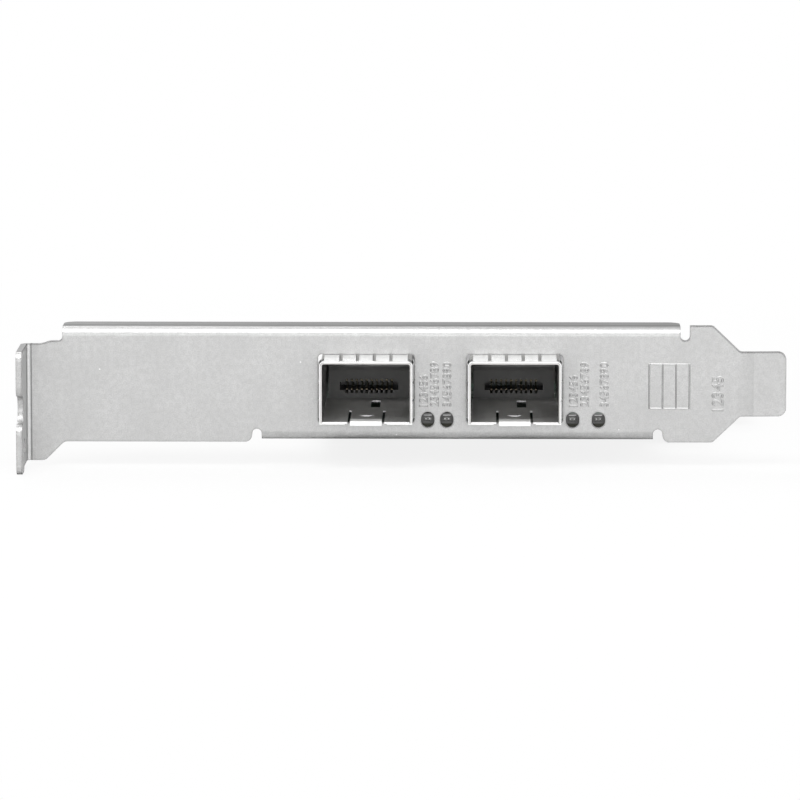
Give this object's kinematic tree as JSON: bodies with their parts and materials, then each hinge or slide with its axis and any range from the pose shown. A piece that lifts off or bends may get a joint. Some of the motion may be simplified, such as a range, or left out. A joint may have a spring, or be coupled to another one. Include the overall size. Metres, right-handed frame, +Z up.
{
  "type": "network interface card",
  "caption": "Plug-in network card with a full-height slotted bracket, pluggable-module cages and a finned heat sink.",
  "frame": {"origin": "on the bracket's front face, midway between the two ports and at their centre height", "axes": "+X along the bracket from the screw tab to the tongue, +Y from the bracket back over the board, +Z up from the board's component side; the ports open towards -Y"},
  "size_m": [0.12, 0.1264, 0.0222],
  "materials": {
    "bracket_steel": "satin, fine grain",
    "board_laminate": "solder mask, slightly glossy",
    "plated_gold": "bright plating",
    "cage_nickel": "bright sheet",
    "collar_tin": "bright spring sheet",
    "connector_plastic": "moulded",
    "indicator_plastic": "milky",
    "chip_package": "moulded epoxy",
    "pad_rubber": "soft",
    "sink_aluminium": "extruded",
    "pin_plastic": "moulded",
    "spring_steel": "bright wire",
    "inductor_ferrite": "pressed powder",
    "capacitor_mould": "moulded",
    "oscillator_lid": "metal lid",
    "ceramic_body": "fired ceramic",
    "screw_nickel": "plated"
  },
  "bodies": {
    "root": {"bracket": "bracket_steel", "circuit_board": "board_laminate", "edge_contacts": "plated_gold", "port_cage_1": "cage_nickel", "port_cage_2": "cage_nickel", "cage_floor_1": "cage_nickel", "cage_floor_2": "cage_nickel", "emi_collar_1": "collar_tin", "emi_collar_2": "collar_tin", "port_connector_1": "connector_plastic", "port_connector_2": "connector_plastic", "connector_contacts_1": "plated_gold", "connector_contacts_2": "plated_gold", "port_led_1": "indicator_plastic", "port_led_2": "indicator_plastic", "port_led_3": "indicator_plastic", "port_led_4": "indicator_plastic", "controller_chip": "chip_package", "thermal_pad": "pad_rubber", "heatsink": "sink_aluminium", "heatsink_pin_1": "pin_plastic", "heatsink_pin_2": "pin_plastic", "pin_spring_1": "spring_steel", "pin_spring_2": "spring_steel", "power_inductor_1": "inductor_ferrite", "power_inductor_2": "inductor_ferrite", "power_inductor_3": "inductor_ferrite", "polymer_capacitors": "capacitor_mould", "regulator_chip_1": "chip_package", "regulator_chip_2": "chip_package", "flash_memory": "chip_package", "clock_oscillator": "oscillator_lid", "ceramic_capacitors": "ceramic_body", "resistors": "chip_package", "bracket_screw_1": "screw_nickel", "bracket_screw_2": "screw_nickel"}
  },
  "joints": []
}
